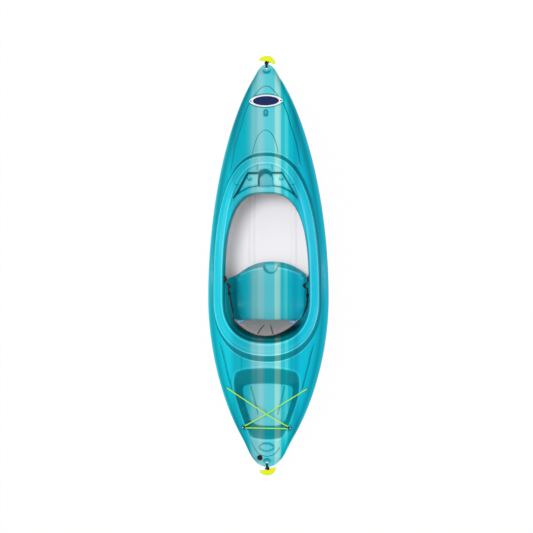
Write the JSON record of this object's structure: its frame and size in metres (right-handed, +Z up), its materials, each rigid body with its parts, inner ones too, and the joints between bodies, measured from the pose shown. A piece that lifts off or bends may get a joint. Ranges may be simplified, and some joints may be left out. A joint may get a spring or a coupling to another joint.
{
  "type": "recreational kayak",
  "caption": "Sit-in recreational kayak: thermoformed hull and deck, coaming with trays and cup, seat tub, folding backrest, tank well with bungee, tip carrying handles and drain plug.",
  "frame": {"origin": "on the floor under the middle of the boat: centre of the bounding box in X and Y, keel at Z = 0", "axes": "+Y points at the bow, +X to starboard, +Z up"},
  "size_m": [0.742, 2.5454, 0.3516],
  "materials": {
    "deck_teal": "gloss",
    "hull_teal": "gloss",
    "foam_grey": "matte",
    "pad_grey": "matte",
    "black_plastic": "satin",
    "black_webbing": "matte",
    "tab_blue": "matte",
    "plate_white": "gloss",
    "steel": "satin",
    "bungee_lime": "matte",
    "grip_lime": "satin",
    "rubber_black": "matte"
  },
  "bodies": {
    "boat": {"hull_shell": "hull_teal", "deck_shell": "deck_teal", "bow_flotation_block": "foam_grey", "stern_flotation_block": "foam_grey", "seat_support_block": "foam_grey", "name_plate": "plate_white", "name_plate_rivet_left": "black_plastic", "name_plate_rivet_right": "black_plastic", "strap_anchor_left": "black_plastic", "strap_anchor_right": "black_plastic", "strap_anchor_screw_left": "steel", "strap_anchor_screw_right": "steel", "strap_left": "black_webbing", "strap_right": "black_webbing", "side_rivet_left": "black_plastic", "side_rivet_right": "black_plastic", "pad_eye_left": "black_plastic", "pad_eye_right": "black_plastic", "pad_eye_screw_left": "steel", "pad_eye_screw_right": "steel", "bungee_cord": "bungee_lime", "drain_seat": "black_plastic", "backrest_bracket_left": "black_plastic", "backrest_bracket_right": "black_plastic", "backrest_bracket_screw_left": "steel", "backrest_bracket_screw_right": "steel", "backrest_pivot_pin_left": "steel", "backrest_pivot_pin_right": "steel"},
    "backrest": {"backrest_board": "black_plastic", "backrest_pad": "pad_grey", "backrest_binding": "black_webbing", "backrest_tab_left": "tab_blue", "backrest_tab_right": "tab_blue"},
    "plug": {"drain_plug": "black_plastic", "drain_gasket": "rubber_black"},
    "bow_handle": {"bow_handle_cord": "black_webbing", "bow_grip": "grip_lime"},
    "stern_handle": {"stern_handle_cord": "black_webbing", "stern_grip": "grip_lime"},
    "buckle_left": {"strap_buckle_left": "black_plastic"},
    "buckle_right": {"strap_buckle_right": "black_plastic"}
  },
  "joints": [
    {"name": "backrest_tilt", "type": "hinge", "parent": "boat", "child": "backrest", "pos_m": [0, -0.347, 0.092], "axis": [1, 0, 0], "range_deg": [-68, 0], "deforming": ["strap_left", "strap_right"]},
    {"name": "drain_plug_pull", "type": "slide", "parent": "boat", "child": "plug", "axis": [0, 0, 1], "range_m": [0, 0.025]},
    {"name": "bow_handle_swing", "type": "hinge", "parent": "boat", "child": "bow_handle", "pos_m": [0, 1.2135, 0.26148], "axis": [1, 0, 0], "range_deg": [-70, 130]},
    {"name": "stern_handle_swing", "type": "hinge", "parent": "boat", "child": "stern_handle", "pos_m": [0, -1.2135, 0.24449], "axis": [-1, 0, 0], "range_deg": [-70, 130]},
    {"name": "buckle_left_slide", "type": "slide", "parent": "boat", "child": "buckle_left", "axis": [0.1858, -0.9773, -0.1014], "range_m": [-0.015, 0.016]},
    {"name": "buckle_right_slide", "type": "slide", "parent": "boat", "child": "buckle_right", "axis": [0, -0.9953, -0.0972], "range_m": [-0.015, 0.01]}
  ]
}
